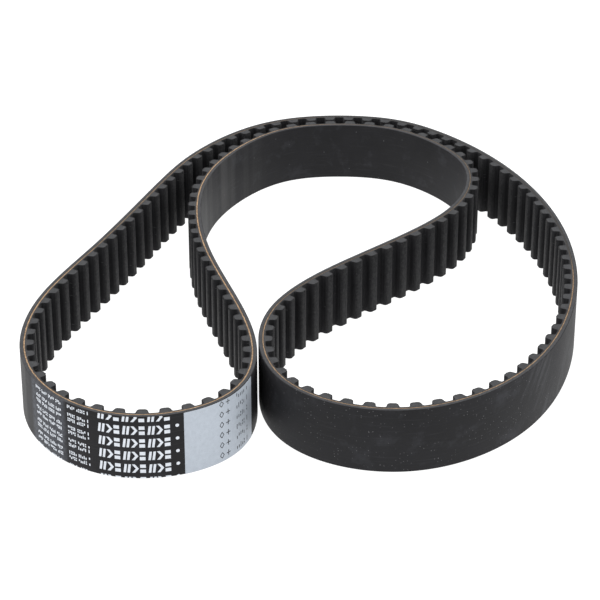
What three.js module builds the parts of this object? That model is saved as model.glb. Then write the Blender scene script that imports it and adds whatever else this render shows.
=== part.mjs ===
// A toothed rubber timing belt, standing on its edge and laid in a loose double loop.
// Millimetres, +Z up. The origin is under the middle of the belt's outline, on the surface it stands on.
// The belt is built up in layers, as it is moulded: backing rubber, a band of tension cords, rubber teeth
// and a nylon facing over the teeth. Its route is divided where it bends most freely when the loops open.
import * as THREE from 'three';

// Driving dimensions.
const PITCH = 9.525;              // tooth to tooth, along the cords
const TEETH = 155;
const WIDTH = 28;                 // the belt's width, which stands vertical
const BACK = 1.9;                 // cord line to the back of the belt
const CORD_HALF = 0.4;            // half the thickness of the band of cords
const LAND = 1.0;                 // cord line to the facing between two teeth
const TIP = 4.1;                  // cord line to the tip of a tooth
const FACING = 0.3;               // thickness of the nylon facing
const BOND = 0.05;                // clearance kept between two bonded layers
const ROOT_HALF = 2.9;            // half the width of a tooth where it meets the land
const TIP_HALF = 1.9;             // half the width of a tooth at its tip
const FILM = 0.1;                 // thickness of a printed film
const FILM_MARGIN = 0.4;          // bare edge left above and below a printed film

// Clearance at each end of a section that bends against the next one, by layer.
const BEND_CLEARANCE = { backing: 0.55, cords: 0.25, teeth: 0.35, facing: 0.35 };
const SEAM_CLEARANCE = 0.15;      // at the ends that stay together

// The cord line's pull points, seen from above: a closed cubic B-spline, anticlockwise round each loop.
// It starts at the left of the front left loop and goes round that loop, up into the inner bay, down
// the diagonal, round the right loop and back along the outer run.
const PULL_POINTS = [
  [-118.5, -113.5], [-78, -156.5], [-24, -139], [-18.5, -82], [-47.5, -5.5], [-53, 57], [-42, 98],
  [-15.5, 134.5], [16, 139], [45.5, 135], [70, 109], [81, 80.5], [71, 35.5], [25.5, -7],
  [-23, -55.5], [-17.5, -128], [39.5, -153], [91.5, -117], [115, -53.5], [117.5, 6.5],
  [107.5, 57.5], [87.5, 101.5], [59.5, 134.5], [35.5, 147.5], [-5, 147.5], [-32.5, 131],
  [-54.5, 101.5], [-66.5, 73.5], [-92.5, -1.5], [-117, -51],
];
const FIRST_TOOTH = 7.3;          // route start to the middle of tooth 0, along the cords

// Sections of the belt, by the tooth gaps where they begin and end. `bends` says which ends flex.
const SECTIONS = [
  { name: 'left_loop', from: 150.5, to: 180.5, bends: [true, true] },
  { name: 'inner_bay', from: 25.5, to: 64.5, bends: [true, true] },
  { name: 'right_neck', from: 64.5, to: 71.5, bends: [true, true] },
  { name: 'right_loop_inner', from: 71.5, to: 78.5, bends: [true, false] },
  { name: 'right_loop_front', from: 78.5, to: 86.5, bends: [false, true] },
  { name: 'right_loop_outer', from: 86.5, to: 93.5, bends: [true, true] },
  { name: 'back_right_run', from: 93.5, to: 123.5, bends: [true, true] },
  { name: 'back_left_run', from: 123.5, to: 135.5, bends: [true, true] },
  { name: 'left_run_upper', from: 135.5, to: 143.5, bends: [true, false] },
  { name: 'left_run_lower', from: 143.5, to: 150.5, bends: [false, true] },
];

// Printed films on the back of the front left loop, by tooth number along the route.
const PRINTS = [
  { name: 'print_white_marking', from: 155.4, to: 162.5, material: 'white_print' },
  { name: 'print_silver_panel', from: 162.65, to: 166.7, material: 'silver_print' },
];

const MATERIALS = {
  backing: new THREE.MeshStandardMaterial({ color: 0x26272a, roughness: 0.7 }),
  cords: new THREE.MeshStandardMaterial({ color: 0xb09a7c, roughness: 0.8 }),
  teeth: new THREE.MeshStandardMaterial({ color: 0x55565a, roughness: 0.85 }),
  facing: new THREE.MeshStandardMaterial({ color: 0x1b1d22, roughness: 0.9 }),
  white_print: new THREE.MeshStandardMaterial({ color: 0xe6ebf0, roughness: 0.6 }),
  silver_print: new THREE.MeshStandardMaterial({ color: 0xb9c4d0, roughness: 0.5, metalness: 0.3 }),
};

// ---- the route ----

const SAMPLES = 12000;            // fine steps for measuring length along the route

function splinePoint(share) {
  const n = PULL_POINTS.length;
  const u = share * n;
  const i = Math.floor(u);
  const t = u - i;
  const weights = [
    (1 - t) ** 3 / 6,
    (3 * t ** 3 - 6 * t ** 2 + 4) / 6,
    (-3 * t ** 3 + 3 * t ** 2 + 3 * t + 1) / 6,
    t ** 3 / 6,
  ];
  const point = new THREE.Vector2();
  weights.forEach((weight, k) => {
    const [x, y] = PULL_POINTS[(i + k - 1 + n) % n];
    point.x += weight * x;
    point.y += weight * y;
  });
  return point;
}

function measureRoute() {
  const points = [];
  for (let k = 0; k <= SAMPLES; k += 1) points.push(splinePoint((k % SAMPLES) / SAMPLES));
  const lengths = [0];
  for (let k = 1; k <= SAMPLES; k += 1) lengths.push(lengths[k - 1] + points[k].distanceTo(points[k - 1]));
  const scale = (TEETH * PITCH) / lengths[SAMPLES];
  points.forEach((point) => point.multiplyScalar(scale));
  return { points, lengths: lengths.map((length) => length * scale) };
}

const route = measureRoute();

// The cord line's point at a tooth number, and its normal towards the teeth.
function cordLine(tooth) {
  const whole = TEETH * PITCH;
  const along = (((tooth * PITCH + FIRST_TOOTH) % whole) + whole) % whole;
  let low = 0;
  let high = SAMPLES;
  while (high - low > 1) {
    const middle = (low + high) >> 1;
    if (route.lengths[middle] <= along) low = middle;
    else high = middle;
  }
  const part = (along - route.lengths[low]) / (route.lengths[high] - route.lengths[low]);
  const point = route.points[low].clone().lerp(route.points[high], part);
  const before = route.points[(low - 1 + SAMPLES) % SAMPLES];
  const after = route.points[(high + 1) % SAMPLES];
  const tangent = after.clone().sub(before).normalize();
  return { point, normal: new THREE.Vector2(-tangent.y, tangent.x) };
}

// The point at a tooth number and a height above the cord line: minus is towards the back.
function onBelt(tooth, height) {
  const { point, normal } = cordLine(tooth);
  return point.addScaledVector(normal, height);
}

function outlineCentre() {
  const box = new THREE.Box2();
  for (let tooth = 0; tooth < TEETH; tooth += 0.1) box.expandByPoint(onBelt(tooth, -BACK));
  return box.getCenter(new THREE.Vector2());
}

const centre = outlineCentre();

// ---- the layers ----

// The profile of the toothed side as [tooth number, height] pairs, for a surface `depth` under the facing.
function toothedProfile(from, to, depth) {
  const profile = [];
  const rootHalf = (ROOT_HALF - depth) / PITCH;
  const tipHalf = (TIP_HALF - depth * 0.7) / PITCH;
  profile.push([from, LAND - depth]);
  for (let tooth = Math.ceil(from); tooth < to; tooth += 1) {
    profile.push([tooth - rootHalf, LAND - depth]);
    profile.push([tooth - tipHalf, TIP - depth]);
    profile.push([tooth + tipHalf, TIP - depth]);
    profile.push([tooth + rootHalf, LAND - depth]);
  }
  profile.push([to, LAND - depth]);
  return profile;
}

// A smooth surface at one height, with stations on both sides of every tooth.
function smoothProfile(from, to, height) {
  const half = ROOT_HALF / PITCH;
  const stations = [from];
  for (let tooth = Math.floor(from); tooth <= Math.ceil(to); tooth += 1) {
    stations.push(...[tooth - half, tooth + half].filter((station) => station > from && station < to));
  }
  stations.push(to);
  return stations.map((station) => [station, height]);
}

// A closed band between two profiles, standing from `bottom` up.
function band(outer, inner, bottom, height) {
  const outline = [...outer, ...inner.reverse()].map(([tooth, level]) => onBelt(tooth, level).sub(centre));
  const shape = new THREE.Shape(outline);
  const geometry = new THREE.ExtrudeGeometry(shape, { depth: height, bevelEnabled: false, steps: 1 });
  geometry.translate(0, 0, bottom);
  return geometry;
}

const LAYERS = {
  backing: (from, to) => [
    smoothProfile(from, to, -BACK),
    smoothProfile(from, to, -CORD_HALF - BOND),
  ],
  cords: (from, to) => [
    smoothProfile(from, to, -CORD_HALF),
    smoothProfile(from, to, CORD_HALF),
  ],
  teeth: (from, to) => [
    smoothProfile(from, to, CORD_HALF + BOND),
    toothedProfile(from, to, FACING + BOND),
  ],
  facing: (from, to) => [
    toothedProfile(from, to, FACING),
    toothedProfile(from, to, 0),
  ],
};

const belt = new THREE.Group();

function addPart(name, geometry, material) {
  const mesh = new THREE.Mesh(geometry, MATERIALS[material]);
  mesh.name = name;
  belt.add(mesh);
}

for (const { name, from, to, bends } of SECTIONS) {
  for (const [layer, profiles] of Object.entries(LAYERS)) {
    const [first, last] = bends.map((bending) => (bending ? BEND_CLEARANCE[layer] : SEAM_CLEARANCE) / PITCH);
    const [outer, inner] = profiles(from + first, to - last);
    addPart(`${name}_${layer}`, band(outer, inner, 0, WIDTH), layer);
  }
}

for (const { name, from, to, material } of PRINTS) {
  const under = smoothProfile(from, to, -BACK - BOND);
  const over = smoothProfile(from, to, -BACK - BOND - FILM);
  addPart(name, band(over, under, FILM_MARGIN, WIDTH - 2 * FILM_MARGIN), material);
}

export default belt;
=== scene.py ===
"""A toothed rubber timing belt, standing on its edge in a loose double loop."""
import math

import bpy
import numpy as np
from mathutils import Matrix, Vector


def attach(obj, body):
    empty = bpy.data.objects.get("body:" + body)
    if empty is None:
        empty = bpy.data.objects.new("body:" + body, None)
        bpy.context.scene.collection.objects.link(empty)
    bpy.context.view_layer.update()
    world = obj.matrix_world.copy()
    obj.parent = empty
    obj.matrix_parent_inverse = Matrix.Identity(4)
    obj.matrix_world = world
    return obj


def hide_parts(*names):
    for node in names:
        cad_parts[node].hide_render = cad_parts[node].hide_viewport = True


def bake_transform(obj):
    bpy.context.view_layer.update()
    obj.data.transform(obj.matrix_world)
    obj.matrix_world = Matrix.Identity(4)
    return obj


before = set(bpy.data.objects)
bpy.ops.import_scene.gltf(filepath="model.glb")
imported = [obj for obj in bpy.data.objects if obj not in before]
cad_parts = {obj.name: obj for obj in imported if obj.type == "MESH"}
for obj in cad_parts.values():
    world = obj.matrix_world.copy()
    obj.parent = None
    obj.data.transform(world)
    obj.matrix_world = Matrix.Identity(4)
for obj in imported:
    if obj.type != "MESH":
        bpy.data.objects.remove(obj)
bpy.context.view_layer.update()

MM = 0.001

# ---- the belt's dimensions, in millimetres ----

# These are the CAD's own values.
PITCH = 9.525                     # tooth to tooth, along the cords
TEETH = 155
WIDTH = 28.0                      # the belt's width, which stands vertical
BACK = 1.9                        # cord line to the back of the belt
CORD_HALF = 0.4                   # half the thickness of the band of cords
LAND = 1.0                        # cord line to the facing between two teeth
TIP = 4.1                         # cord line to the tip of a tooth
FACING = 0.3                      # thickness of the nylon facing
FIRST_TOOTH = 7.3                 # route start to the middle of tooth 0, along the cords

# These shape the teeth more finely than the CAD does, with rounded corners and so other widths.
ROOT_HALF = 2.75                  # half the width of a tooth where it meets the land
TIP_HALF = 2.2                    # half the width of a tooth at its tip
ROOT_FILLET = 0.7
TIP_ROUND = 1.45
ARC_STEPS = 5
EDGE_ROUND = 0.28                 # rounding of the back's two moulded edges
CHAMFER = 0.12                    # bevel on the facing's cut edges
CORD_SHOW_HALF = 0.36             # half the thickness of the cords where they are cut
CORD_SUNK = 0.08                  # cut cords lie this far below the cut rubber
TEETH_SUNK = 0.06                 # and the tooth rubber this far below the facing's edge

# The cord line's pull points, seen from above, as in the CAD: a closed cubic B-spline.
PULL_POINTS = [
    [-118.5, -113.5], [-78, -156.5], [-24, -139], [-18.5, -82], [-47.5, -5.5], [-53, 57],
    [-42, 98], [-15.5, 134.5], [16, 139], [45.5, 135], [70, 109], [81, 80.5], [71, 35.5],
    [25.5, -7], [-23, -55.5], [-17.5, -128], [39.5, -153], [91.5, -117], [115, -53.5],
    [117.5, 6.5], [107.5, 57.5], [87.5, 101.5], [59.5, 134.5], [35.5, 147.5], [-5, 147.5],
    [-32.5, 131], [-54.5, 101.5], [-66.5, 73.5], [-92.5, -1.5], [-117, -51],
]

# ---- the route of the cord line ----


def spline(share):
    """Points and tangents of the closed cubic B-spline at these shares of its way round."""
    control = np.array(PULL_POINTS, float)
    n = len(control)
    u = np.asarray(share, float) * n
    i = np.floor(u).astype(int)
    t = (u - i)[:, None]
    weights = [(1 - t) ** 3 / 6, (3 * t**3 - 6 * t**2 + 4) / 6,
               (-3 * t**3 + 3 * t**2 + 3 * t + 1) / 6, t**3 / 6]
    slopes = [-((1 - t) ** 2) / 2, (9 * t**2 - 12 * t) / 6, (-9 * t**2 + 6 * t + 3) / 6, t**2 / 2]
    ring = [control[(i + k - 1) % n] for k in range(4)]
    point = sum(w * c for w, c in zip(weights, ring))
    tangent = sum(s * c for s, c in zip(slopes, ring))
    return point, tangent / np.linalg.norm(tangent, axis=1)[:, None]


SAMPLES = 12000
shares = np.linspace(0, 1, SAMPLES + 1)
steps = np.linalg.norm(np.diff(spline(shares)[0], axis=0), axis=1)
lengths = np.concatenate([[0], np.cumsum(steps)])
scale = TEETH * PITCH / lengths[-1]
lengths *= scale


def on_belt(tooth, height):
    """Plan points, in millimetres, at tooth numbers and heights above the cord line."""
    tooth = np.asarray(tooth, float)
    along = (tooth * PITCH + FIRST_TOOTH) % (TEETH * PITCH)
    point, tangent = spline(np.interp(along, lengths, shares) % 1.0)
    normal = np.stack([-tangent[:, 1], tangent[:, 0]], axis=1)
    return point * scale + normal * np.asarray(height, float)[:, None]


around = np.arange(0, TEETH, 0.1)
outline = on_belt(around, np.full(len(around), -BACK))
centre = (outline.min(axis=0) + outline.max(axis=0)) / 2


def place(tooth, height, z):
    """Positions in metres in the row frame."""
    plan = on_belt(tooth, height) - centre
    return np.column_stack([plan, z]) * MM


# ---- procedural materials ----


class Shader:
    """A material built from nodes, with a few short ways to add them."""

    def __init__(self, name):
        self.material = bpy.data.materials.new(name)
        self.material.use_nodes = True
        self.nodes = self.material.node_tree.nodes
        self.links = self.material.node_tree.links
        self.bsdf = self.nodes["Principled BSDF"]
        self.coord = self.add("ShaderNodeAttribute")
        self.coord.attribute_name = "belt"
        self.vector = self.coord.outputs["Vector"]
        split = self.add("ShaderNodeSeparateXYZ")
        self.link(self.vector, split.inputs["Vector"])
        self.along, self.height, self.up = split.outputs
        flat = self.add("ShaderNodeCombineXYZ")
        self.link(self.along, flat.inputs["X"])
        self.link(self.up, flat.inputs["Y"])
        self.flat = flat.outputs["Vector"]

    def add(self, kind, **values):
        node = self.nodes.new(kind)
        for key, value in values.items():
            if hasattr(node, key):
                setattr(node, key, value)
            else:
                node.inputs[key].default_value = value
        return node

    def link(self, a, b):
        self.links.new(a, b)

    def stretched(self, x, y, z, tilt=0.0):
        """The belt coordinates scaled, after turning them by `tilt` degrees in the belt's surface."""
        vector = self.vector
        if tilt:
            turn = self.add("ShaderNodeVectorRotate", rotation_type="Y_AXIS")
            turn.inputs["Angle"].default_value = math.radians(tilt)
            self.link(vector, turn.inputs["Vector"])
            vector = turn.outputs["Vector"]
        node = self.add("ShaderNodeMapping", vector_type="POINT")
        node.inputs["Scale"].default_value = (x, y, z)
        self.link(vector, node.inputs["Vector"])
        return node.outputs["Vector"]

    def noise(self, scale, detail=3.0, roughness=0.55, vector=None):
        node = self.add("ShaderNodeTexNoise")
        node.inputs["Scale"].default_value = scale
        node.inputs["Detail"].default_value = detail
        node.inputs["Roughness"].default_value = roughness
        self.link(vector or self.vector, node.inputs["Vector"])
        return node.outputs["Fac"]

    def specks(self, spacing, radius, share):
        """1 inside small dots scattered over the surface, in this share of the cells."""
        node = self.add("ShaderNodeTexVoronoi", feature="F1", voronoi_dimensions="2D")
        node.inputs["Scale"].default_value = 1 / spacing
        self.link(self.flat, node.inputs["Vector"])
        dot = self.ramp(node.outputs["Distance"], radius * 0.5 / spacing, radius / spacing, 1.0, 0.0)
        pick = self.add("ShaderNodeSeparateColor")
        self.link(node.outputs["Color"], pick.inputs["Color"])
        return self.math("MULTIPLY", dot, self.ramp(pick.outputs["Red"], 1 - share, 1.0, 0.3, 1.0, True))

    def stretch_of_belt(self, first, last, soft):
        """1 between two tooth numbers, fading to 0 over `soft` teeth beyond each end."""
        rise = self.ramp(self.along, (first - soft) * PITCH, first * PITCH)
        fall = self.ramp(self.along, last * PITCH, (last + soft) * PITCH, 1.0, 0.0)
        return self.math("MULTIPLY", rise, fall)

    def ramp(self, value, low, high, at_low=0.0, at_high=1.0, step=False):
        """A straight rise between two values, held level beyond them. With `step` it is 0 below `low`."""
        node = self.add("ShaderNodeMapRange", clamp=True)
        node.inputs["From Min"].default_value = low
        node.inputs["From Max"].default_value = high
        node.inputs["To Min"].default_value = at_low
        node.inputs["To Max"].default_value = at_high
        self.link(value, node.inputs["Value"])
        if not step:
            return node.outputs["Result"]
        return self.math("MULTIPLY", node.outputs["Result"], self.math("GREATER_THAN", value, low))

    def math(self, operation, a, b):
        node = self.add("ShaderNodeMath", operation=operation)
        for socket, value in zip(node.inputs, (a, b)):
            if isinstance(value, (int, float)):
                socket.default_value = value
            else:
                self.link(value, socket)
        return node.outputs[0]

    def mix(self, factor, a, b):
        node = self.add("ShaderNodeMix", data_type="RGBA")
        if isinstance(factor, (int, float)):
            node.inputs["Factor"].default_value = factor
        else:
            self.link(factor, node.inputs["Factor"])
        for socket, value in ((node.inputs[6], a), (node.inputs[7], b)):
            if isinstance(value, tuple):
                socket.default_value = (*value, 1.0)
            else:
                self.link(value, socket)
        return node.outputs[2]

    def bump(self, height, strength, distance):
        node = self.add("ShaderNodeBump")
        node.inputs["Strength"].default_value = strength
        node.inputs["Distance"].default_value = distance
        self.link(height, node.inputs["Height"])
        self.link(node.outputs["Normal"], self.bsdf.inputs["Normal"])

    def finish(self, colour, roughness, specular):
        if isinstance(colour, tuple):
            self.bsdf.inputs["Base Color"].default_value = (*colour, 1.0)
        else:
            self.link(colour, self.bsdf.inputs["Base Color"])
        if isinstance(roughness, float):
            self.bsdf.inputs["Roughness"].default_value = roughness
        else:
            self.link(roughness, self.bsdf.inputs["Roughness"])
        self.bsdf.inputs["Specular IOR Level"].default_value = specular
        return self.material


# Where the back is marked or carries painted highlights: tooth numbers where a stretch starts and ends, and
# its fade in teeth.
# Slanting streaks of painted highlight on the right loop's outer side: where they lie, and their tilt.
SLANTED_HIGHLIGHTS = (244.5, 250.5, 3.0)
SLANTED_HIGHLIGHT_TILT = 52                     # degrees between the painted highlight streaks and the belt's length
INK_HAZE = (155.15, 157.4, 0.25)
DUSTY = (229.0, 246.0, 3.0)
# Upright bands of painted highlight on the left loop's side and the left of the bay; the last number is how
# strongly each shows.
UPRIGHT_HIGHLIGHTS = ((145.0, 153.6, 2.0, 0.80), (183.0, 189.5, 4.0, 0.42))    # and how strongly it shows

# Tones of black rubber and fabric, of what has marked them, of painted highlights and of the paler tooth
# tips, as linear colours.
SKIN_DARK = (0.0088, 0.0088, 0.0102)
SKIN_PALE = (0.0150, 0.0150, 0.0172)
SCRATCHED = (0.052, 0.052, 0.058)
SMUDGED = (0.055, 0.057, 0.066)
# painted highlight colour of the slanting streaks
SLANTED_HIGHLIGHT_TONE = (0.070, 0.072, 0.080)
# painted highlight colour of the upright bands
UPRIGHT_HIGHLIGHT_TONE = (0.074, 0.074, 0.074)
DUST = (0.26, 0.26, 0.27)
PALE_INK = (0.55, 0.60, 0.70)
CRUMB_PIT = (0.018, 0.018, 0.020)
CLOTH_DARK = (0.0052, 0.0053, 0.0062)
CLOTH_PALE = (0.0105, 0.0105, 0.0120)
THREAD = (0.036, 0.036, 0.040)
CLOTH_TIP_PALE = (0.050, 0.050, 0.050)
LINT = (0.16, 0.16, 0.165)
CORD_DARK = (0.21, 0.120, 0.060)
CORD_PALE = (0.60, 0.42, 0.265)
CORD_SMEARED = (0.038, 0.037, 0.036)


def moulded_back():
    """The plain back: blue-black, with cloudy wear, handling streaks, painted highlights and a little pale
    dust.
    """
    s = Shader("moulded_back")
    cloud = s.noise(0.05, 4.0, 0.6)
    base = s.mix(s.ramp(cloud, 0.35, 0.68), SKIN_DARK, SKIN_PALE)
    # fine scratches that run along the belt
    scratch = s.noise(0.5, 4.0, 0.65, s.stretched(0.10, 1.0, 3.2))
    base = s.mix(s.math("MULTIPLY", s.ramp(scratch, 0.56, 0.76), 0.30), base, SCRATCHED)
    # soft smudges
    smudge = s.math("MULTIPLY", s.ramp(s.noise(0.11, 3.0, 0.6), 0.56, 0.75), 0.30)
    base = s.mix(smudge, base, SMUDGED)
    # slanting streaks of painted highlight on the outer side of the right loop
    slanted_highlight = s.ramp(s.noise(0.11, 4.0, 0.55, s.stretched(0.30, 1.0, 2.2, SLANTED_HIGHLIGHT_TILT)), 0.52, 0.74)
    slanted_highlight = s.math("MULTIPLY", slanted_highlight, s.stretch_of_belt(*SLANTED_HIGHLIGHTS))
    base = s.mix(s.math("MULTIPLY", slanted_highlight, 0.60), base, SLANTED_HIGHLIGHT_TONE)
    # upright paler bands of painted highlight: the left loop's side and the left of the bay
    bands = s.ramp(s.noise(0.23, 3.0, 0.5, s.stretched(1.0, 1.0, 0.04)), 0.36, 0.66)
    for first, last, soft, amount in UPRIGHT_HIGHLIGHTS:
        upright_highlight = s.math("MULTIPLY", bands, s.stretch_of_belt(first, last, soft))
        base = s.mix(s.math("MULTIPLY", upright_highlight, amount), base, UPRIGHT_HIGHLIGHT_TONE)
    # a thin haze of ink round the smallest print
    patchy = s.ramp(s.noise(0.9), 0.3, 0.7, 0.3, 1.0)
    haze = s.math("MULTIPLY", s.stretch_of_belt(*INK_HAZE), patchy)
    base = s.mix(s.math("MULTIPLY", haze, 0.12), base, PALE_INK)
    # dust: small dots in patches, most of them on the right loop, and a few larger specks
    dust = s.math("MULTIPLY", s.specks(1.5, 0.20, 0.24), s.ramp(s.noise(0.09), 0.40, 0.56))
    dusty = s.ramp(s.stretch_of_belt(*DUSTY), 0.0, 1.0, 0.12, 1.0)
    base = s.mix(s.math("MULTIPLY", s.math("MULTIPLY", dust, dusty), 0.60), base, DUST)
    base = s.mix(s.math("MULTIPLY", s.specks(14.0, 0.28, 0.6), 0.40), base, DUST)
    grain = s.noise(2.2, 5.0, 0.7)
    s.bump(s.math("ADD", s.math("MULTIPLY", grain, 0.6), scratch), 0.35, 0.00012)
    return s.finish(base, s.ramp(cloud, 0.3, 0.75, 0.58, 0.70), 0.22)


def cut_rubber(name, dark, light, seed):
    """A knife-cut edge: greyer than the moulded skin, with fine scoring across it."""
    s = Shader(name)
    patch = s.noise(0.35 + seed, 4.0, 0.65)
    score = s.noise(1.6, 3.0, 0.6, s.stretched(0.25, 2.4, 1.0))
    crumbs = s.noise(2.6, 2.0, 0.6)
    base = s.mix(s.ramp(patch, 0.3, 0.7), dark, light)
    base = s.mix(s.math("MULTIPLY", s.ramp(score, 0.50, 0.74), 0.35), base,
                 tuple(c * 1.7 for c in light))
    base = s.mix(s.math("MULTIPLY", s.ramp(crumbs, 0.52, 0.36), 0.45), base, CRUMB_PIT)
    s.bump(s.math("ADD", score, crumbs), 0.55, 0.00012)
    return s.finish(base, s.ramp(patch, 0.3, 0.7, 0.72, 0.88), 0.22)


def woven_facing():
    """Nylon twill over the teeth: fine ribs across the belt, paler in patches towards the tooth tips."""
    s = Shader("woven_facing")
    warp = s.add("ShaderNodeTexWave", wave_type="BANDS", bands_direction="X")
    warp.inputs["Scale"].default_value = 0.75
    warp.inputs["Distortion"].default_value = 1.4
    warp.inputs["Detail"].default_value = 2.0
    s.link(s.vector, warp.inputs["Vector"])
    weft = s.add("ShaderNodeTexWave", wave_type="BANDS", bands_direction="Z")
    weft.inputs["Scale"].default_value = 0.55
    weft.inputs["Distortion"].default_value = 1.0
    s.link(s.vector, weft.inputs["Vector"])
    weave = s.math("MULTIPLY", warp.outputs["Fac"], weft.outputs["Fac"])
    patch = s.noise(0.22, 4.0, 0.6)
    base = s.mix(s.ramp(patch, 0.3, 0.72), CLOTH_DARK, CLOTH_PALE)
    thread = s.math("MULTIPLY", s.ramp(weave, 0.35, 0.9), 0.40)
    base = s.mix(thread, base, THREAD)
    # paler in patches towards the tooth tips
    paler_tip = s.math("MULTIPLY", s.ramp(s.height, 3.1, 4.0), s.ramp(s.noise(0.8, 4.0, 0.65), 0.42, 0.66))
    base = s.mix(s.math("MULTIPLY", paler_tip, 0.35), base, CLOTH_TIP_PALE)
    lint = s.math("MULTIPLY", s.specks(2.2, 0.17, 0.35), 0.30)
    base = s.mix(lint, base, LINT)
    s.bump(s.math("ADD", weave, s.math("MULTIPLY", s.noise(3.0, 4.0, 0.7), 0.8)), 0.6, 0.00014)
    s.bsdf.inputs["Sheen Weight"].default_value = 0.04
    s.bsdf.inputs["Sheen Roughness"].default_value = 0.5
    return s.finish(base, s.ramp(patch, 0.3, 0.7, 0.66, 0.82), 0.18)


# How plainly the cut cords show: tooth numbers where a stretch starts and ends, fade, and strength.
CORD_SHOWS = ((120.0, 140.0, 3.0, 0.22), (146.0, 192.0, 6.0, 0.72), (226.5, 253.0, 3.0, 0.40))
CORD_BURIED = (256.0, 276.0, 3.0)


def cut_cord():
    """Glass cords sliced lengthwise: a thin ragged tan line, smeared over with rubber in places."""
    s = Shader("cut_cord")
    shows = None
    for first, last, soft, strength in CORD_SHOWS:
        term = s.math("MULTIPLY", s.stretch_of_belt(first, last, soft), strength)
        shows = term if shows is None else s.math("ADD", shows, term)
    shows = s.math("ADD", shows, 0.34)
    buried = s.math("SUBTRACT", 1.0, s.math("MULTIPLY", s.stretch_of_belt(*CORD_BURIED), 0.85))
    shows = s.math("MULTIPLY", shows, buried)
    ragged = s.noise(0.55, 4.0, 0.7, s.stretched(1.0, 0.0, 0.0))
    off_line = s.math("ADD", s.height, s.ramp(ragged, 0.3, 0.7, -0.13, 0.13))
    away = s.math("ABSOLUTE", off_line, 0.0)
    half = s.ramp(shows, 0.1, 1.0, 0.15, 0.29)
    core = s.ramp(s.math("DIVIDE", away, half), 0.65, 1.15, 1.0, 0.0)
    strand = s.noise(1.1, 4.0, 0.7, s.stretched(0.8, 3.0, 1.0))
    tan = s.mix(s.ramp(strand, 0.35, 0.7), CORD_DARK, CORD_PALE)
    smear = s.ramp(s.noise(0.16, 4.0, 0.65, s.stretched(1.0, 0.0, 0.0)), 0.40, 0.66, 1.0, 0.45)
    amount = s.math("MULTIPLY", s.math("MULTIPLY", core, shows), smear)
    base = s.mix(amount, CORD_SMEARED, tan)
    s.bump(strand, 0.6, 0.00015)
    return s.finish(base, 0.85, 0.2)


def printed(name, low, high, roughness, metal):
    """Printed ink, a little patchy where it lies over the grain of the rubber."""
    s = Shader(name)
    patch = s.noise(0.5, 4.0, 0.7)
    fine = s.noise(4.0, 3.0, 0.7)
    mixed = s.math("ADD", s.math("MULTIPLY", patch, 0.5), s.math("MULTIPLY", fine, 0.5))
    base = s.mix(s.ramp(mixed, 0.35, 0.65), low, high)
    pinholes = s.math("MULTIPLY", s.specks(1.9, 0.16, 0.35), 0.45)
    base = s.mix(pinholes, base, tuple(c * 0.35 for c in low))
    s.bsdf.inputs["Metallic"].default_value = metal
    s.bump(fine, 0.25, 0.00005)
    return s.finish(base, roughness, 0.35)


BACK_SKIN = moulded_back()
BACK_CUT = cut_rubber("cut_backing", (0.036, 0.037, 0.040), (0.066, 0.067, 0.071), 0.0)
TOOTH_CUT = cut_rubber("cut_tooth", (0.032, 0.033, 0.035), (0.060, 0.061, 0.064), 0.07)
CORD_CUT = cut_cord()
WEAVE = woven_facing()
WHITE_INK = printed("white_ink", (0.62, 0.66, 0.72), (0.80, 0.84, 0.90), 0.6, 0.0)
SILVER_INK = printed("silver_ink", (0.41, 0.455, 0.515), (0.505, 0.555, 0.62), 0.5, 0.1)
DARK_INK = printed("dark_ink", (0.020, 0.021, 0.024), (0.045, 0.047, 0.052), 0.6, 0.0)

# ---- meshes ----

SEAM = 0.002                      # pieces stop this far, in millimetres, short of the next one


def make_piece(name, rings, materials, face_kinds, sharp=34.0, scraps=()):
    """A closed band through rings of (tooth, height, z) points; face_kinds gives a material each side.

    Each of `scraps` is a small closed four-cornered shell that is added to the same mesh."""
    rings = np.array(rings, float)
    rings[0, :, 0] += SEAM / PITCH
    rings[-1, :, 0] -= SEAM / PITCH
    count, around_ring = rings.shape[:2]
    flat = rings.reshape(-1, 3)
    faces, kinds = [], []
    for a in range(count - 1):
        for k in range(around_ring):
            m = (k + 1) % around_ring
            faces.append((a * around_ring + k, a * around_ring + m,
                          (a + 1) * around_ring + m, (a + 1) * around_ring + k))
            kinds.append(face_kinds[k])
    faces.append(tuple(range(around_ring))[::-1])
    faces.append(tuple((count - 1) * around_ring + k for k in range(around_ring)))
    kinds += [face_kinds[0], face_kinds[0]]
    for corners in scraps:
        n = len(flat)
        flat = np.vstack([flat, corners])
        faces += [(n, n + 1, n + 2), (n, n + 3, n + 1), (n + 1, n + 3, n + 2), (n + 2, n + 3, n)]
        kinds += [0] * 4
    points = place(flat[:, 0], flat[:, 1], flat[:, 2])
    return finish_mesh(name, points, flat, faces, kinds, materials, sharp)


def finish_mesh(name, points, belt_points, faces, kinds, materials, sharp=34.0):
    """A mesh object that also carries each point's place on the belt, which the materials read."""
    mesh = bpy.data.meshes.new(name)
    mesh.from_pydata(points.tolist(), [], faces)
    for material in materials:
        mesh.materials.append(material)
    mesh.polygons.foreach_set("material_index", kinds)
    mesh.polygons.foreach_set("use_smooth", [True] * len(faces))
    attribute = mesh.attributes.new("belt", "FLOAT_VECTOR", "POINT")
    coords = belt_points * [PITCH, 1.0, 1.0]
    attribute.data.foreach_set("vector", coords.astype(np.float32).ravel())
    mesh.set_sharp_from_angle(angle=math.radians(sharp))
    mesh.update()
    piece = bpy.data.objects.new(name, mesh)
    bpy.context.scene.collection.objects.link(piece)
    return piece


def wander(tooth, size, seed):
    """A smooth, small unevenness along the belt."""
    t = np.asarray(tooth, float)
    return size * (np.sin(t * 2.1 + seed) + np.sin(t * 5.3 + 2 * seed) + np.sin(t * 11.9 + 5 * seed)) / 3


def even_stations(start, end, step):
    """Tooth numbers from start to end, at most `step` millimetres apart."""
    return np.linspace(start, end, int(math.ceil((end - start) * PITCH / step)) + 1)


# ---- the side of the belt that carries the teeth, as a line with rounded corners ----


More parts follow.
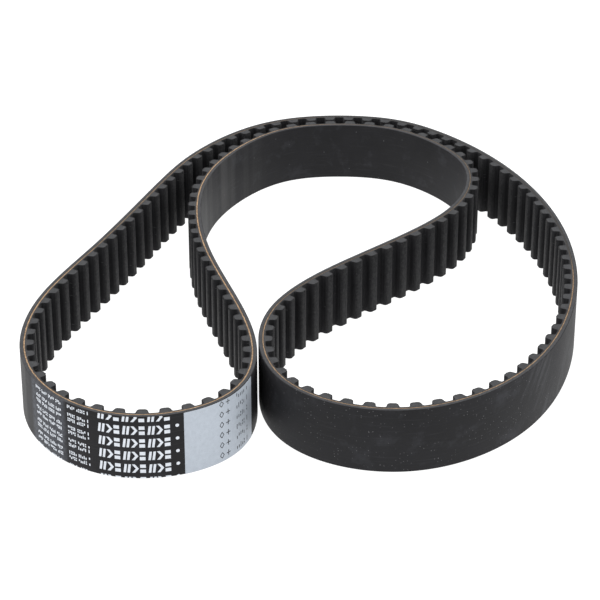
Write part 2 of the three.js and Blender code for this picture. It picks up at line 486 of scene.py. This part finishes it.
def rounded(points, radii):
    """A polyline whose inner corners are rounded to these radii."""
    out = [np.array(points[0], float)]
    for before, corner, after, radius in zip(points, points[1:], points[2:], radii):
        b, c, a = (np.array(p, float) for p in (before, corner, after))
        u, v = (b - c) / np.linalg.norm(b - c), (a - c) / np.linalg.norm(a - c)
        half = math.acos(max(-1, min(1, float(u @ v)))) / 2
        reach = radius / math.tan(half)
        middle = c + (u + v) / np.linalg.norm(u + v) * radius / math.sin(half)
        first, last = c + u * reach - middle, c + v * reach - middle
        turn = math.atan2(first[0] * last[1] - first[1] * last[0], float(first @ last))
        for k in range(ARC_STEPS + 1):
            angle = turn * k / ARC_STEPS
            spin = np.array([[math.cos(angle), -math.sin(angle)], [math.sin(angle), math.cos(angle)]])
            out.append(middle + spin @ first)
    out.append(np.array(points[-1], float))
    return np.array(out)


def tooth_outline():
    """One tooth from mid gap to mid gap, in millimetres from its middle."""
    corners = [(-PITCH / 2, LAND), (-ROOT_HALF, LAND), (-TIP_HALF, TIP), (TIP_HALF, TIP),
               (ROOT_HALF, LAND), (PITCH / 2, LAND)]
    line = rounded(corners, [ROOT_FILLET, TIP_ROUND, TIP_ROUND, ROOT_FILLET])
    along = np.diff(line, axis=0)
    normals = np.stack([-along[:, 1], along[:, 0]], axis=1)
    normals /= np.linalg.norm(normals, axis=1)[:, None]
    joined = np.vstack([normals[:1], normals[:-1] + normals[1:], normals[-1:]])
    joined /= np.linalg.norm(joined, axis=1)[:, None]
    return line, joined


TOOTH_LINE, TOOTH_NORMALS = tooth_outline()


def toothed_line(start, end, depth):
    """Tooth numbers and heights of the toothed side from gap to gap, `depth` under its surface."""
    line = TOOTH_LINE - TOOTH_NORMALS * depth
    whole = []
    for tooth in range(math.ceil(start), math.floor(end) + 1):
        whole.append(np.column_stack([tooth + line[:-1, 0] / PITCH, line[:-1, 1]]))
    whole.append(np.array([[end, line[-1, 1]]]))
    return np.vstack(whole)


# ---- the four layers, each built for a stretch from one tooth gap to another ----

SCRAP_FOOT = 0.15                 # a frayed scrap is rooted this far under the tooth's tip
BACK_STEP = 1.2                   # spacing of the stations along the belt, in millimetres
CORD_STEP = 0.9
PANEL_STEP = 1.0


def backing(name, start, end):
    """The outer rubber: a smooth moulded back with rounded edges, and cut edges above and below."""
    stations = even_stations(start, end, BACK_STEP)
    arc = [math.radians(a) for a in (0, 30, 60, 90)]
    low = [(-BACK + EDGE_ROUND * (1 - math.sin(a)), EDGE_ROUND * (1 - math.cos(a))) for a in arc]
    high = [(h, WIDTH - z) for h, z in reversed(low)]
    section = [(-CORD_HALF, 0.0), *low, *high, (-CORD_HALF, WIDTH)]
    rings = [[(t, h, z) for h, z in section] for t in stations]
    kinds = [1] + [0] * (len(section) - 3) + [1, 1]
    return make_piece(name, rings, [BACK_SKIN, BACK_CUT], kinds)


def cords(name, start, end):
    """The band of cords, whose cut edges are slightly uneven."""
    stations = even_stations(start, end, CORD_STEP)
    rings = []
    for t, up, side in zip(stations, wander(stations, 0.06, 1.0), wander(stations, 0.07, 3.0)):
        low, high = -CORD_SHOW_HALF + side * 0.5, CORD_SHOW_HALF + side
        bottom, top = CORD_SUNK + up, WIDTH - CORD_SUNK + up
        rings.append([(t, low, bottom), (t, low, top), (t, high, top), (t, high, bottom)])
    return make_piece(name, rings, [CORD_CUT], [0] * 4)


def tooth_rubber(name, start, end):
    """The rubber inside the teeth and the thin land between them."""
    profile = toothed_line(start, end, FACING)
    low, high = TEETH_SUNK, WIDTH - TEETH_SUNK
    rings = [[(t, CORD_HALF, low), (t, CORD_HALF, high), (t, h, high), (t, h, low)] for t, h in profile]
    return make_piece(name, rings, [TOOTH_CUT], [0] * 4)


def frayed_tip(tooth, random):
    """A ragged scrap of cut fabric at the top of a tooth's tip: four (tooth, height, z) corners."""
    middle = random.uniform(-0.9, 0.6)
    half = random.uniform(0.35, 0.75)
    rise = random.uniform(0.15, 0.48)
    foot, top = TIP - SCRAP_FOOT, WIDTH - CHAMFER
    return [(tooth + (middle - half) / PITCH, foot, top),
            (tooth + (middle + half) / PITCH, foot, top),
            (tooth + (middle + half * random.uniform(-0.5, 0.5)) / PITCH, TIP + rise, top),
            (tooth + middle / PITCH, foot, top - random.uniform(0.6, 1.8))]


def facing(name, start, end):
    """The woven facing over the teeth, with a frayed scrap at every tooth's tip."""
    surface = toothed_line(start, end, 0.0)
    shallow = toothed_line(start, end, CHAMFER)
    deep = toothed_line(start, end, FACING)
    rings = []
    for (t, h), (ts, hs), (td, hd) in zip(surface, shallow, deep):
        rings.append([(td, hd, 0.0), (td, hd, WIDTH), (ts, hs, WIDTH), (t, h, WIDTH - CHAMFER),
                      (t, h, CHAMFER), (ts, hs, 0.0)])
    random = np.random.default_rng(int(start * 2))
    scraps = [frayed_tip(tooth, random) for tooth in range(math.ceil(start), math.floor(end) + 1)]
    return make_piece(name, rings, [WEAVE], [0] * 6, sharp=50.0, scraps=scraps)


# ---- the belt, in stretches that each span one joint ----

# name, first and last tooth gap, the tooth gap at the joint, half the bending length in teeth,
# the bodies before and after the joint, and the CAD sections it stands for. Tooth numbers run on past
# the belt's 155 teeth, so that the materials carry on without a break over the parts in view.
STRETCHES = [
    ("left_loop_to_bay", 165.5, 200.5, 180.5, 6.0, "left_loop_body", "fixed_runs",
     ["left_loop", "inner_bay"]),
    ("bay_to_right_neck", 200.5, 222.5, 219.5, 3.0, "fixed_runs", "right_neck_body",
     ["inner_bay", "right_neck"]),
    ("right_neck_to_loop", 222.5, 233.5, 226.5, 4.0, "right_neck_body", "right_loop_inner_body",
     ["right_neck", "right_loop_inner"]),
    ("right_loop_front_to_side", 233.5, 244.5, 241.5, 3.0, "right_loop_front_body", "right_loop_outer_body",
     ["right_loop_front", "right_loop_outer"]),
    ("right_loop_to_back", 244.5, 263.5, 248.5, 4.0, "right_loop_outer_body", "fixed_runs",
     ["right_loop_outer", "back_right_run"]),
    ("back_run", 263.5, 284.5, 278.5, 6.0, "fixed_runs", "back_left_run_body",
     ["back_right_run", "back_left_run"]),
    ("back_run_to_left_run", 129.5, 143.5, 135.5, 6.0, "back_left_run_body", "left_run_upper_body",
     ["back_left_run", "left_run_upper"]),
    ("left_run_to_loop", 143.5, 165.5, 150.5, 5.0, "left_run_lower_body", "left_loop_body",
     ["left_run_lower", "left_loop"]),
]
LAYERS = {"backing": backing, "cords": cords, "teeth": tooth_rubber, "facing": facing}

for name, start, end, joint, half, before, after, sections in STRETCHES:
    for layer, build in LAYERS.items():
        piece = build(f"{name}_{layer}", start, end)
        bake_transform(piece)
        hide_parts(*[f"{section}_{layer}" for section in sections])

# ---- printed marking: generic bars and blocks in rows ----

ROWS = 6
ROW = 5.75                        # from one white row to the next, across the belt
FIRST_ROW = -1.2                  # middle of the lowest row, which the edge cuts off
SILVER_ROW = 4.66                 # the same two for the rows on the silver panel
SILVER_FIRST_ROW = 3.0
SILVER_START = 162.66             # the panel's ends, by tooth number
SILVER_END = 166.68
INK = 0.05                        # thickness of the ink
EDGE_BARE = 0.12                  # ink stops this far from the cut edges
WHITE_BASE = 0.02                 # underside of the ink above the belt's back
DARK_BASE = 0.075                 # the dark ink lies on top of the silver
LEAST_MARK = 0.12                 # a mark that the edge cuts down to less than this is left out


def trimmed(outline, level, keep_above):
    """The part of a convex outline above or below a level."""
    out = []
    for (t0, z0), (t1, z1) in zip(outline, outline[1:] + outline[:1]):
        inside, next_inside = (z0 > level) == keep_above, (z1 > level) == keep_above
        if inside:
            out.append((t0, z0))
        if inside != next_inside:
            out.append((t0 + (t1 - t0) * (level - z0) / (z1 - z0), level))
    return out


class Ink:
    """Collects flat convex shapes printed on the belt's back. Lengths are in millimetres."""

    def __init__(self, base):
        self.base = base
        self.points, self.faces = [], []

    def add(self, tooth, outline):
        """An outline of (along, z) points, with `along` measured from the middle of a tooth."""
        outline = [(tooth + x / PITCH, z) for x, z in outline]
        outline = trimmed(outline, EDGE_BARE, True)
        outline = trimmed(outline, WIDTH - EDGE_BARE, False)
        heights = [z for _, z in outline] or [0.0]
        if max(heights) - min(heights) < LEAST_MARK:
            return
        n, first = len(outline), len(self.points)
        for height in (self.base, self.base + INK):
            self.points += [(t, -BACK - height, z) for t, z in outline]
        self.faces.append(tuple(first + k for k in range(n))[::-1])
        self.faces.append(tuple(first + n + k for k in range(n)))
        for k in range(n):
            m = (k + 1) % n
            self.faces.append((first + k, first + m, first + n + m, first + n + k))

    def bar(self, tooth, left, wide, low, high, lean=0.0):
        """An upright bar whose top is shifted along by `lean`."""
        self.add(tooth, [(left, low), (left + wide, low), (left + wide + lean, high), (left + lean, high)])

    def arrowhead(self, tooth, left, wide, thick, middle, tall):
        """Two legs that meet in a point."""
        reach = wide - thick
        self.bar(tooth, left, thick, middle - tall / 2, middle, reach)
        self.bar(tooth, left + reach, thick, middle, middle + tall / 2, -reach)

    def dot(self, tooth, radius, middle):
        angles = np.arange(12) * math.tau / 12
        self.add(tooth, [(radius * math.cos(a), middle + radius * math.sin(a)) for a in angles])

    def ticks(self, tooth, length, middle, tall, stroke, pitch, seed):
        """A row of small tally strokes: full, split or short, with a gap after every few."""
        random = np.random.default_rng(seed)
        for k in range(int(length / pitch)):
            left = k * pitch
            kind = random.integers(0, 4)
            low, high = middle - tall / 2, middle + tall / 2
            if k % 6 == 5:
                continue
            if kind == 0:
                self.bar(tooth, left, stroke, low, high)
            elif kind == 1:
                self.bar(tooth, left, stroke * 1.3, low, low + tall * 0.38)
                self.bar(tooth, left, stroke * 1.3, high - tall * 0.38, high)
            elif kind == 2:
                self.bar(tooth, left, stroke * 1.2, low, low + tall * 0.62)
            else:
                self.bar(tooth, left, stroke * 1.2, high - tall * 0.62, high)

    def diamond(self, tooth, left, half_wide, half_tall, middle, stroke):
        """An open diamond drawn with four thin strokes."""
        top, bottom = middle + half_tall, middle - half_tall
        self.bar(tooth, left + half_wide, stroke, bottom, middle, -half_wide)
        self.bar(tooth, left + half_wide, stroke, bottom, middle, half_wide)
        self.bar(tooth, left, stroke, middle, top, half_wide)
        self.bar(tooth, left + 2 * half_wide, stroke, middle, top, -half_wide)

    def finish(self, name, material, slot):
        belt_points = np.array(self.points)
        points = place(belt_points[:, 0], belt_points[:, 1], belt_points[:, 2])
        piece = finish_mesh(name, points, belt_points, self.faces, [0] * len(self.faces),
                            [material])
        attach(piece, "left_loop_body")
        return piece


# Columns of small tally strokes: tooth number at the start, length, and half the space between two lines.
SMALL_COLUMNS = ((155.52, 18.3, 1.20), (157.72, 10.8, 1.10))
SMALL_TALL = 1.45
SMALL_STROKE = 0.42
SMALL_PITCH = 0.80
# The column of large signs: tooth number at the start, width of a cell, and height.
LARGE_START = 159.2
LARGE_CELL = 3.17
LARGE_TALL = 3.8
LARGE_CELLS = 9
LARGE_STROKE = 0.95
SPLIT = 0.38                      # half the slit that divides a block in two
DOT_AT = 162.38                   # tooth number, radius and rise above the row of a dot
DOT_RADIUS = 0.72
DOT_RISE = 1.1

white = Ink(WHITE_BASE)
for number in range(ROWS):
    row = FIRST_ROW + ROW * number
    for tooth, length, apart in SMALL_COLUMNS:
        for line in (-apart, apart):
            seed = 1000 + number * 10 + int(length) + (1 if line > 0 else 0)
            white.ticks(tooth, length, row + line, SMALL_TALL, SMALL_STROKE, SMALL_PITCH, seed)
    for k in range(LARGE_CELLS):
        left = k * LARGE_CELL
        low, high = row - LARGE_TALL / 2, row + LARGE_TALL / 2
        if k % 3 == 0:
            white.bar(LARGE_START, left, LARGE_STROKE, low, high, 0.5)
            white.bar(LARGE_START, left + 1.5, LARGE_STROKE, low, high, 0.5)
        elif k % 3 == 1:
            white.arrowhead(LARGE_START, left + 0.1, 2.6, 1.15, row, LARGE_TALL)
        else:
            white.bar(LARGE_START, left, 2.15, low, row - SPLIT)
            white.bar(LARGE_START, left, 2.15, row + SPLIT, high)
    white.dot(DOT_AT, DOT_RADIUS, row + DOT_RISE)
white_marks = white.finish("print_white_marking_bars", WHITE_INK, "white_print")
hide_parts("print_white_marking")


def silver_panel():
    """The silver block of ink, a thin band over the whole width of the belt."""
    stations = even_stations(SILVER_START, SILVER_END, PANEL_STEP)
    under, over = -BACK - WHITE_BASE, -BACK - WHITE_BASE - INK
    low, high = EDGE_BARE, WIDTH - EDGE_BARE
    rings = [[(t, under, low), (t, over, low), (t, over, high), (t, under, high)] for t in stations]
    return make_piece("print_silver_panel_ink", rings, [SILVER_INK], [0] * 4)


panel = silver_panel()
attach(panel, "left_loop_body")
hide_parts("print_silver_panel")

# The dark signs on the silver panel, from left to right, by tooth number.
DIAMOND_AT = 164.26
PLUS_AT = 164.62
TALLY_AT = 165.28
TALLY_LONG = 10.2
TALLY_TALL = 2.2
TALLY_STROKE = 0.32
TALLY_PITCH = 1.30
THIN = 0.34                       # stroke of the diamond and the plus sign
PLUS_WIDE = 2.1
PLUS_HALF_TALL = 1.2

dark = Ink(DARK_BASE)
for number in range(ROWS):
    row = SILVER_FIRST_ROW + SILVER_ROW * number
    dark.diamond(DIAMOND_AT, 0.0, 0.95, 1.3, row, THIN)
    dark.bar(PLUS_AT, 0.9, THIN, row - PLUS_HALF_TALL, row + PLUS_HALF_TALL)
    dark.bar(PLUS_AT, 0.0, PLUS_WIDE, row - THIN / 2, row + THIN / 2)
    dark.ticks(TALLY_AT, TALLY_LONG, row - 0.25, TALLY_TALL, TALLY_STROKE, TALLY_PITCH, 40 + number)
dark.finish("print_dark_ticks", DARK_INK, "backing")

# ---- the stage ----


FLOOR_HALF = 12.0                 # in metres, far enough to fill any view
FLOOR_DROP = 0.0002               # keeps the floor just clear of the belt's lower edge


def make_floor():
    """A plain pale floor. It gives off a little light of its own, so it shows hardly any shadow."""
    mesh = bpy.data.meshes.new("floor")
    corners = [(-1, -1), (1, -1), (1, 1), (-1, 1)]
    mesh.from_pydata([(x * FLOOR_HALF, y * FLOOR_HALF, 0) for x, y in corners], [], [(0, 1, 2, 3)])
    floor = bpy.data.objects.new("floor", mesh)
    bpy.context.scene.collection.objects.link(floor)
    floor.location.z = -FLOOR_DROP
    material = bpy.data.materials.new("pale_floor")
    material.use_nodes = True
    shader = material.node_tree.nodes["Principled BSDF"]
    shader.inputs["Base Color"].default_value = (0.20, 0.20, 0.20, 1)
    shader.inputs["Emission Color"].default_value = (1, 1, 1, 1)
    shader.inputs["Emission Strength"].default_value = 1.0
    shader.inputs["Roughness"].default_value = 0.9
    shader.inputs["Specular IOR Level"].default_value = 0.1
    mesh.materials.append(material)


def soft_light(name, place_at, size, power):
    """A square softbox that faces the middle of the belt."""
    data = bpy.data.lights.new(name, "AREA")
    data.shape = "SQUARE"
    data.size = size
    data.energy = power
    light = bpy.data.objects.new(name, data)
    bpy.context.scene.collection.objects.link(light)
    light.location = place_at
    light.rotation_euler = (-Vector(place_at)).to_track_quat("-Z", "Y").to_euler()


WORLD_LIGHT = 0.85
# name, place and size in metres, and power in watts
SOFTBOXES = (
    ("top_softbox", (-0.25, 0.35, 1.5), 1.2, 14),
    ("right_softbox", (1.3, 0.2, 0.8), 0.9, 6),
    ("left_softbox", (-1.3, 0.1, 0.8), 0.9, 6),
)

make_floor()
world = bpy.data.worlds.new("studio")
bpy.context.scene.world = world
world.use_nodes = True
world.node_tree.nodes["Background"].inputs["Color"].default_value = (1, 1, 1, 1)
world.node_tree.nodes["Background"].inputs["Strength"].default_value = WORLD_LIGHT

for name, place_at, size, power in SOFTBOXES:
    soft_light(name, place_at, size, power)

scene = bpy.context.scene
scene.view_settings.view_transform = "Standard"

CAMERA_AT = (-0.00283, -0.914406, 0.477063)
CAMERA_DOWN = 27.494              # degrees the camera looks down
FOCAL_LENGTH = 137.61

camera_data = bpy.data.cameras.new("camera")
camera = bpy.data.objects.new("camera", camera_data)
scene.collection.objects.link(camera)
camera.location = CAMERA_AT
camera.rotation_euler = (math.radians(90 - CAMERA_DOWN), 0, 0)
camera_data.sensor_width = 36
camera_data.lens = FOCAL_LENGTH
camera_data.clip_start = 0.05
camera_data.clip_end = 50
scene.camera = camera
